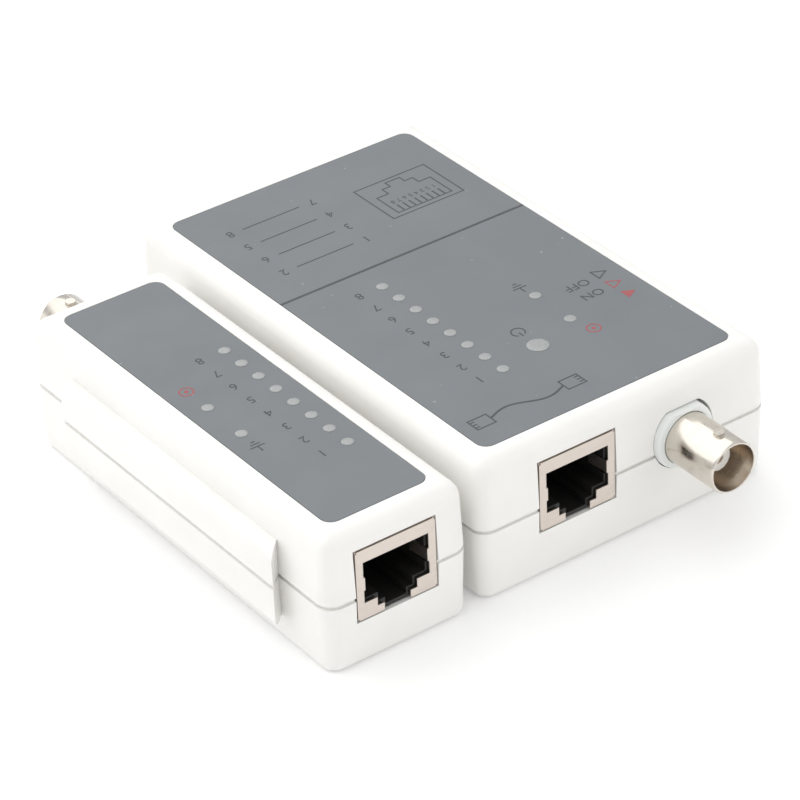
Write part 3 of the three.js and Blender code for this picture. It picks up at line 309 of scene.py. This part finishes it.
def laminate(name):
    """Solder mask over copper, as on a circuit board."""
    material, tree, bsdf = shader(name)
    stops = [(0.42, srgb(24, 84, 52)), (0.5, srgb(40, 112, 66)), (0.58, srgb(26, 88, 54))]
    colour_by(tree, bsdf, ramp(tree, noise(tree, 350, 2), stops))
    rough_by(tree, bsdf, noise(tree, 500, 2), 0.28, 0.42)
    relief(tree, bsdf, noise(tree, 350, 2), 0.2, 0.03)
    return material


def wrapped_can(name):
    """The battery's wrap: two colour bands along its length."""
    material, tree, bsdf = shader(name)
    band = add(tree, "ShaderNodeMath", {1: BATTERY_BAND * MM}, operation="GREATER_THAN")
    tree.links.new(along(tree, "Object", "X"), band.inputs[0])
    dark = tones(tree, noise(tree, 120, 3), srgb(34, 36, 40), srgb(46, 48, 53))
    colour_by(tree, bsdf, over(tree, dark, band.outputs[0], srgb(196, 130, 58)))
    rough_by(tree, bsdf, noise(tree, 200, 3), 0.3, 0.4)
    bsdf.inputs["Metallic"].default_value = 0.5
    relief(tree, bsdf, noise(tree, 300, 2), 0.1, 0.02, 0.2)
    return material


ABS = moulded("warm_white_abs", srgb(237, 236, 232), srgb(241, 240, 237), 0.42)
SHEET = printed_sheet("grey_printed_sheet")
INK = ink("dark_grey_ink", srgb(64, 67, 70))
RED_INK = ink("muted_red_ink", srgb(158, 76, 80))
FILM = window_film("window_film")
LENS = lens("unlit_lens")
WHITE = moulded("white_plastic", srgb(226, 229, 227), srgb(234, 236, 233), 0.36)
BLACK = moulded("black_plastic", srgb(26, 26, 26), srgb(35, 34, 33), 0.4, gloss=0.4)
DIELECTRIC = moulded("dielectric_plastic", srgb(228, 226, 220), srgb(236, 234, 229), 0.34, edge=0.08)
TIN = metal("tin_plate", srgb(212, 202, 193), srgb(221, 211, 202), 0.36, (1, 1, 6), 260, 0.02)
NICKEL = metal("nickel_plate", srgb(211, 205, 195), srgb(219, 213, 204), 0.19, (2, 30, 2), 40, 0.01)
# The bore's copy of the plating: rougher, and tinted warm as a painted reflection of the bore's inside
BORE_PAINTED_REFLECTION = metal("bore_plating_painted_reflection", srgb(230, 218, 204), srgb(238, 226, 212), 0.3, (1, 1, 1), 300, 0.02)
GOLD = metal("gold_plate", srgb(206, 158, 70), srgb(226, 182, 96), 0.24, (1, 1, 1), 500, 0.05)
STEEL = metal("zinc_plated_steel", srgb(168, 172, 176), srgb(190, 194, 198), 0.3, (1, 1, 1), 420, 0.08)
BOARD = laminate("solder_mask")
CAN = wrapped_can("battery_wrap")


# The CAD nodes

MATERIAL_BY_LAST_WORD = {
    "battery": CAN,
    "label": SHEET,
    "shell": ABS,
    "door": ABS,
    "board": BOARD,
    "chip": BLACK,
    "knob": BLACK,
    "snap": BLACK,
    "insulator": BLACK,
    "shield": TIN,
    "contacts": GOLD,
    "housing": WHITE,
    "barrel": NICKEL,
    "dielectric": DIELECTRIC,
    "contact": GOLD,
    "body": STEEL,
}


def material_for(name):
    """The material of a CAD node. Screws and lights are numbered, and the rest end in a known word."""
    if "screw" in name:
        return STEEL
    return MATERIAL_BY_LAST_WORD.get(name.split("_")[-1], LENS)


def dress(node, material):
    """Gives a CAD node its material and smooth shading between near-flat faces."""
    node.data.materials.clear()
    node.data.materials.append(material)
    for polygon in node.data.polygons:
        polygon.use_smooth = True
    custom = node.data.attributes.get("custom_normal")
    if custom:
        node.data.attributes.remove(custom)
    weld = node.modifiers.new("weld", "WELD")
    weld.merge_threshold = WELD_GAP * MM
    split = node.modifiers.new("edges", "EDGE_SPLIT")
    split.split_angle = math.radians(SMOOTH_DEGREES)


def line_bore(node, low, high):
    """Gives the inward faces of a round barrel along Y a rougher copy of the plating, tinted warm as a
    painted reflection of the bore.
    """
    node.data.materials.append(BORE_PAINTED_REFLECTION)
    middle = (low + high) / 2
    for polygon in node.data.polygons:
        outward = node.matrix_world @ polygon.center - middle
        outward.y = 0
        if outward.normalized().dot(polygon.normal) < -BORE_LEAN:
            polygon.material_index = 1


for node_name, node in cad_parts.items():
    dress(node, material_for(node_name))
    # The inward faces of a barrel get the painted bore reflection
    if node_name.endswith("_barrel"):
        line_bore(node, *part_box(node_name))


def new_object(name, data):
    """A new object in the scene."""
    made = bpy.data.objects.new(name, data)
    bpy.context.scene.collection.objects.link(made)
    return made


# Outlines, in millimetres

def rectangle(middle, size):
    """A rectangle's corners in turn, the lowest first."""
    x, y = middle
    signs = ((-1, -1), (1, -1), (1, 1), (-1, 1))
    return [(x + a * size[0] / 2, y + b * size[1] / 2) for a, b in signs]


def circle(middle, radius, start=0, turn=360, steps=CIRCLE_STEPS):
    """Points round a circle. A part of one has a point at both its ends."""
    angles = [math.radians(start + turn * i / steps) for i in range(steps + (turn < 360))]
    return [(middle[0] + radius * math.cos(a), middle[1] + radius * math.sin(a)) for a in angles]


# Forms drawn into a mesh, in millimetres

def plate(mesh, outline, thickness=PRINT_THICKNESS):
    """A flat plate with that outline, as thick as the print unless told otherwise."""
    low = [mesh.verts.new((x, y, 0)) for x, y in outline]
    high = [mesh.verts.new((x, y, thickness)) for x, y in outline]
    mesh.faces.new(high)
    mesh.faces.new(list(reversed(low)))
    for i in range(len(outline)):
        j = (i + 1) % len(outline)
        mesh.faces.new((low[i], low[j], high[j], high[i]))


def turned(mesh, middle, profile, steps=CIRCLE_STEPS):
    """A form turned about an upright axis, from its rings of radius and height, the lowest first."""
    rings = []
    for radius, height in profile:
        rings.append([mesh.verts.new((x, y, height)) for x, y in circle(middle, radius, steps=steps)])
    for lower, upper in zip(rings, rings[1:]):
        for i in range(steps):
            j = (i + 1) % steps
            mesh.faces.new((lower[i], lower[j], upper[j], upper[i]))
    mesh.faces.new(rings[-1])
    mesh.faces.new(list(reversed(rings[0])))


def mitre(before, here, after, distance):
    """The corner of a line's edge, at that distance to the left of its path."""
    first = (here - before).normalized() if (here - before).length else (after - here).normalized()
    second = (after - here).normalized() if (after - here).length else first
    side = Vector((-first.y, first.x))
    other = Vector((-second.y, second.x))
    middle = (side + other).normalized()
    return here + middle * (distance / max(middle.dot(side), LEAST_MITRE_SHARE))


def line(mesh, points, width=PRINT_LINE, closed=False):
    """A printed line with mitred corners, as one closed form."""
    path = [Vector(point) for point in points]
    count = len(path)
    rings = []
    for i, here in enumerate(path):
        before = path[(i - 1) % count] if closed or i > 0 else here
        after = path[(i + 1) % count] if closed or i < count - 1 else here
        left = mitre(before, here, after, width / 2)
        right = mitre(before, here, after, -width / 2)
        corners = ((*left, 0), (*right, 0), (*right, PRINT_THICKNESS), (*left, PRINT_THICKNESS))
        rings.append([mesh.verts.new(corner) for corner in corners])
    for i in range(count if closed else count - 1):
        start, end = rings[i], rings[(i + 1) % count]
        for j in range(len(start)):
            k = (j + 1) % len(start)
            mesh.faces.new((start[k], start[j], end[j], end[k]))
    if not closed:
        mesh.faces.new(rings[0])
        mesh.faces.new(list(reversed(rings[-1])))


def words(mesh, string, size, middle, wide=1.0):
    """A string that is read from the rear, as on the sheets."""
    curve = bpy.data.curves.new("words", "FONT")
    curve.body = string
    curve.size = size
    curve.align_x = "CENTER"
    curve.align_y = "CENTER"
    curve.resolution_u = LETTER_STEPS
    curve.extrude = PRINT_THICKNESS / 2
    holder = new_object("words", curve)
    solid = bpy.data.meshes.new_from_object(holder.evaluated_get(bpy.context.evaluated_depsgraph_get()))
    spin = Matrix.Rotation(math.pi, 4, "Z") @ Matrix.Diagonal((wide, 1, 1, 1))
    solid.transform(Matrix.Translation((*middle, PRINT_THICKNESS / 2)) @ spin)
    mesh.from_mesh(solid)
    bpy.data.objects.remove(holder)
    bpy.data.curves.remove(curve)
    bpy.data.meshes.remove(solid)


def laid(name, mesh, origin, material, body, smooth=False):
    """Makes a piece of that body from a mesh drawn in millimetres about that origin."""
    data = bpy.data.meshes.new(name)
    mesh.to_mesh(data)
    mesh.free()
    data.transform(Matrix.Translation(origin) @ Matrix.Scale(MM, 4))
    data.materials.append(material)
    for polygon in data.polygons:
        polygon.use_smooth = smooth
    piece = new_object(name, data)
    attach(piece, body)


def on_sheet(unit, name, mesh, material, smooth=False):
    """Lays a mesh on the unit's sheet, about the sheet's middle."""
    low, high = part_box(f"{unit}_label")
    middle = (low + high) / 2
    top = Vector((middle.x, middle.y, high.z))
    laid(f"{unit}_{name}", mesh, top, material, f"{unit}_unit", smooth)


# Signs

def ground_sign(mesh, middle):
    """The usual sign for ground, upside down to the camera as the digits are."""
    x, y = middle
    line(mesh, [(x, y - GROUND_STEM), (x, y - PRINT_LINE / 2)])
    for height, half in GROUND_BARS:
        line(mesh, [(x - half, y + height), (x + half, y + height)])


def coax_sign(mesh, middle):
    """A coaxial socket from its end: a ring round its contact."""
    line(mesh, circle(middle, SIGN_RADIUS), closed=True)
    plate(mesh, circle(middle, COAX_DOT))


def power_sign(mesh, middle):
    """The usual sign for power, with its gap towards the ports."""
    x, y = middle
    line(mesh, circle(middle, SIGN_RADIUS, POWER_GAP_DEGREES / 2 - 90, 360 - POWER_GAP_DEGREES))
    line(mesh, [(x, y + height) for height in POWER_STROKE])


def switch_mark(step):
    """An arrowhead that points at the switch, counted from the ports."""
    x = SWITCH_MARKS["x"]
    y = SWITCH_MARKS["first"] + step * SWITCH_MARKS["pitch"]
    length, height = SWITCH_MARK_SIZE
    return [(x - length / 2, y - height / 2), (x + length / 2, y), (x - length / 2, y + height / 2)]


def plug_sign(mesh, middle, side):
    """A plug's outline, with the ends of its contacts on that side."""
    x, y = middle
    half = PLUG_SIZE[0] / 2
    line(mesh, rectangle(middle, PLUG_SIZE), closed=True)
    for shift in PLUG_CONTACTS:
        ends = (x + side * half / 2, x + side * (half - PRINT_LINE / 2))
        line(mesh, [(end, y + shift) for end in sorted(ends)])


def lead_sign(mesh):
    """A plain drawing of a lead with a plug at each end."""
    y = LEAD_SIGN["y"]
    for x, side in zip(LEAD_SIGN["ends"], (-1, 1)):
        plug_sign(mesh, (x, y), side)
    start, end = LEAD_SIGN["ends"]
    inset = (PLUG_SIZE[0] + PRINT_LINE) / 2
    run = end - start - 2 * inset
    lead = []
    for i in range(LEAD_SIGN["steps"] + 1):
        share = i / LEAD_SIGN["steps"]
        wave = LEAD_SIGN["wave"] * math.sin(2 * math.pi * share)
        lead.append((start + inset + run * share, y + wave))
    line(mesh, lead, LEAD_LINE)


def jack_sign(mesh):
    """A modular jack's outline with its eight contacts, as a generic diagram."""
    line(mesh, rectangle(JACK_FRAME["middle"], JACK_FRAME["size"]), closed=True)
    right = [(JACK_AXIS + half, y) for half, y in JACK_HALF_OUTLINE]
    left = [(JACK_AXIS - half, y) for half, y in reversed(JACK_HALF_OUTLINE)]
    line(mesh, right + left, closed=True)
    foot, top = JACK_CONTACTS["foot"] + PRINT_LINE / 2, JACK_CONTACTS["top"]
    for i in range(PINS):
        x = JACK_AXIS + (i - (PINS - 1) / 2) * JACK_CONTACTS["pitch"]
        line(mesh, [(x, foot), (x, top)], CONTACT_LINE)
        words(mesh, str(PINS - i), JACK_DIGIT_SIZE, (x, JACK_CONTACTS["digits_y"]))


def pair_rows(mesh):
    """Plain numbers of the four wire pairs, each with its line."""
    for row, (first, second) in enumerate(PAIRS):
        y = PAIR_ROWS["first"] + row * PAIR_ROWS["pitch"]
        words(mesh, str(second), DIGIT_SIZE, (PAIR_ROWS["left"], y))
        line(mesh, [(x, y) for x in PAIR_ROWS["line"]])
        words(mesh, str(first), DIGIT_SIZE, (PAIR_ROWS["right"], y))


# Print and windows

def row_y(row, i):
    """How far along the sheet a light of the row lies."""
    return row["first"] + i * row["pitch"]


def digits(mesh, row):
    """The numbers beside the row of pin lights."""
    for i in range(PINS):
        words(mesh, str(i + 1), DIGIT_SIZE, (row["digits_x"], row_y(row, i)))


def main_print():
    dark = bmesh.new()
    digits(dark, MAIN_ROW)
    for word, middle in SWITCH_WORDS.items():
        words(dark, word, WORD_SIZE, middle, WORD_STRETCH)
    line(dark, switch_mark(2), closed=True)
    low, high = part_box("main_label")
    half = (high.x - low.x) / 2 / MM
    line(dark, [(x, DIVIDER_Y) for x in (-half, half)], DIVIDER_LINE)
    ground_sign(dark, MAIN_SIGNS["ground"])
    power_sign(dark, MAIN_SIGNS["power"])
    lead_sign(dark)
    jack_sign(dark)
    pair_rows(dark)
    on_sheet("main", "print_dark", dark, INK)

    red = bmesh.new()
    line(red, switch_mark(1), closed=True)
    plate(red, switch_mark(0))
    coax_sign(red, MAIN_SIGNS["coax"])
    on_sheet("main", "print_red", red, RED_INK)


def remote_print():
    dark = bmesh.new()
    digits(dark, REMOTE_ROW)
    ground_sign(dark, REMOTE_SIGNS["ground"])
    on_sheet("remote", "print_dark", dark, INK)

    red = bmesh.new()
    coax_sign(red, REMOTE_SIGNS["coax"])
    on_sheet("remote", "print_red", red, RED_INK)


def window(mesh, middle, radius):
    """A window: a low dome with a rounded rim."""
    turned(mesh, middle, [(radius * out, WINDOW_RISE * up) for out, up in WINDOW_PROFILE_SHARES])


def windows(unit, row, singles, large=None):
    """The windows over the row of pin lights, the single lights and the large one, if there is one."""
    mesh = bmesh.new()
    for i in range(PINS):
        window(mesh, (row["x"], row_y(row, i)), SMALL_WINDOW)
    for middle in singles.values():
        window(mesh, middle, SMALL_WINDOW)
    if large:
        window(mesh, large, POWER_WINDOW)
    on_sheet(unit, "windows", mesh, FILM, smooth=True)


# Parts on the boards, and the mark on the battery door

def middle_of(node_name):
    """The middle of a node from above, in millimetres."""
    low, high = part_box(node_name)
    middle = (low + high) / 2 / MM
    return middle.x, middle.y


def light_places(unit):
    """The middles of the unit's pin lights, in millimetres."""
    return [middle_of(f"{unit}_pin_led_{i + 1}") for i in range(PINS)]


def resistors(unit):
    """One resistor beside each pin light: a dark body between two metal ends."""
    bodies = bmesh.new()
    ends = bmesh.new()
    length, width, height = RESISTOR_SIZE
    for light_x, y in light_places(unit):
        x = light_x - RESISTOR_REACH
        plate(bodies, rectangle((x, y), (length - 2 * RESISTOR_END, width)), height)
        for side in (-1, 1):
            end_x = x + side * (length - RESISTOR_END) / 2
            plate(ends, rectangle((end_x, y), (RESISTOR_END, width)), height)
    top = Vector((0, 0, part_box(f"{unit}_board")[1].z + BOARD_GAP * MM))
    laid(f"{unit}_resistor_bodies", bodies, top, BLACK, f"{unit}_unit")
    laid(f"{unit}_resistor_ends", ends, top, STEEL, f"{unit}_unit")


def solder(unit):
    """The joints under the board, of the lights and of the modular jack."""
    mesh = bmesh.new()
    for x, y in light_places(unit):
        for side in (-1, 1):
            turned(mesh, (x, y + side * LEG_REACH), SOLDER_PROFILE, SOLDER_STEPS)
    jack_x, jack_y = middle_of(f"{unit}_jack_insulator")
    for i in range(PINS):
        x = jack_x + (i - (PINS - 1) / 2) * CONTACT_PITCH
        turned(mesh, (x, jack_y + CONTACT_ROWS[i % 2]), SOLDER_PROFILE, SOLDER_STEPS)
    under = Vector((0, 0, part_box(f"{unit}_board")[0].z - BOARD_GAP * MM))
    laid(f"{unit}_solder", mesh, under, STEEL, f"{unit}_unit")


def door_mark():
    """A plain raised arrowhead that shows which way the battery door slides."""
    low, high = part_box("battery_door")
    mesh = bmesh.new()
    half = ARROW_WIDTH / 2
    plate(mesh, [(half, 0), (0, ARROW_LENGTH), (-half, 0)], ARROW_RISE)
    origin = Vector(((low.x + high.x) / 2, (low.y + high.y) / 2 + ARROW_SHIFT * MM, low.z - ARROW_RISE * MM))
    laid("battery_door_mark", mesh, origin, ABS, "battery_door")


main_print()
remote_print()
for unit_name in ("main", "remote"):
    resistors(unit_name)
    solder(unit_name)
door_mark()
windows("main", MAIN_ROW, MAIN_SINGLES, MAIN_POWER)
windows("remote", REMOTE_ROW, REMOTE_SINGLES)


# Floor, light and camera

def grey(level):
    return (level, level, level)


def floor():
    """A plain pale floor, just under the object."""
    mesh = bmesh.new()
    bmesh.ops.create_grid(mesh, x_segments=1, y_segments=1, size=FLOOR_HALF)
    data = bpy.data.meshes.new("floor")
    mesh.to_mesh(data)
    mesh.free()
    material, tree, bsdf = shader("pale_floor")
    colour_by(tree, bsdf, tones(tree, noise(tree, 4, 2), grey(0.88), grey(0.9)))
    bsdf.inputs["Emission Color"].default_value = (1, 1, 1, 1)
    bsdf.inputs["Emission Strength"].default_value = 0.1
    bsdf.inputs["Roughness"].default_value = 0.9
    bsdf.inputs["Specular IOR Level"].default_value = 0.1
    data.materials.append(material)
    piece = new_object("floor", data)
    piece.location.z = -FLOOR_GAP * MM


def softbox(name, location, target, size, power):
    """A broad soft light that faces its target."""
    light = bpy.data.lights.new(name, "AREA")
    light.shape = "RECTANGLE"
    light.size, light.size_y = size
    light.energy = power
    holder = new_object(name, light)
    holder.location = location
    direction = Vector(target) - Vector(location)
    holder.rotation_euler = direction.to_track_quat("-Z", "Y").to_euler()


def studio():
    """A sky that brightens with height, and two soft lights."""
    world = bpy.data.worlds.new("studio")
    world.use_nodes = True
    tree = world.node_tree
    stops = [(0.0, grey(0.8)), (0.3, grey(0.85)), (0.7, grey(1.0))]
    sky = ramp(tree, along(tree, "Generated", "Z"), stops)
    tree.links.new(sky, tree.nodes["Background"].inputs["Color"])
    tree.nodes["Background"].inputs["Strength"].default_value = SKY_STRENGTH
    bpy.context.scene.world = world
    softbox("key", **KEY_LIGHT)
    softbox("fill", **FILL_LIGHT)
    bpy.context.scene.view_settings.view_transform = "Standard"


def camera():
    """The camera, turned by its angles and rolled about its own axis."""
    azimuth, elevation, roll = (math.radians(a) for a in (CAMERA_AZIMUTH, CAMERA_ELEVATION, CAMERA_ROLL))
    forward = Vector((
        math.sin(azimuth) * math.cos(elevation),
        math.cos(azimuth) * math.cos(elevation),
        -math.sin(elevation),
    ))
    level = forward.cross(Vector((0, 0, 1))).normalized()
    upright = level.cross(forward)
    right = level * math.cos(roll) + upright * math.sin(roll)
    up = right.cross(forward)
    data = bpy.data.cameras.new("photo_view")
    data.lens = CAMERA_LENS
    data.sensor_width = CAMERA_SENSOR
    data.clip_start = CAMERA_CLIP * MM
    holder = new_object("photo_view", data)
    axes = Matrix((right, up, -forward)).transposed().to_4x4()
    holder.matrix_world = Matrix.Translation(Vector(CAMERA_PLACE) * MM) @ axes
    bpy.context.scene.camera = holder


floor()
studio()
camera()
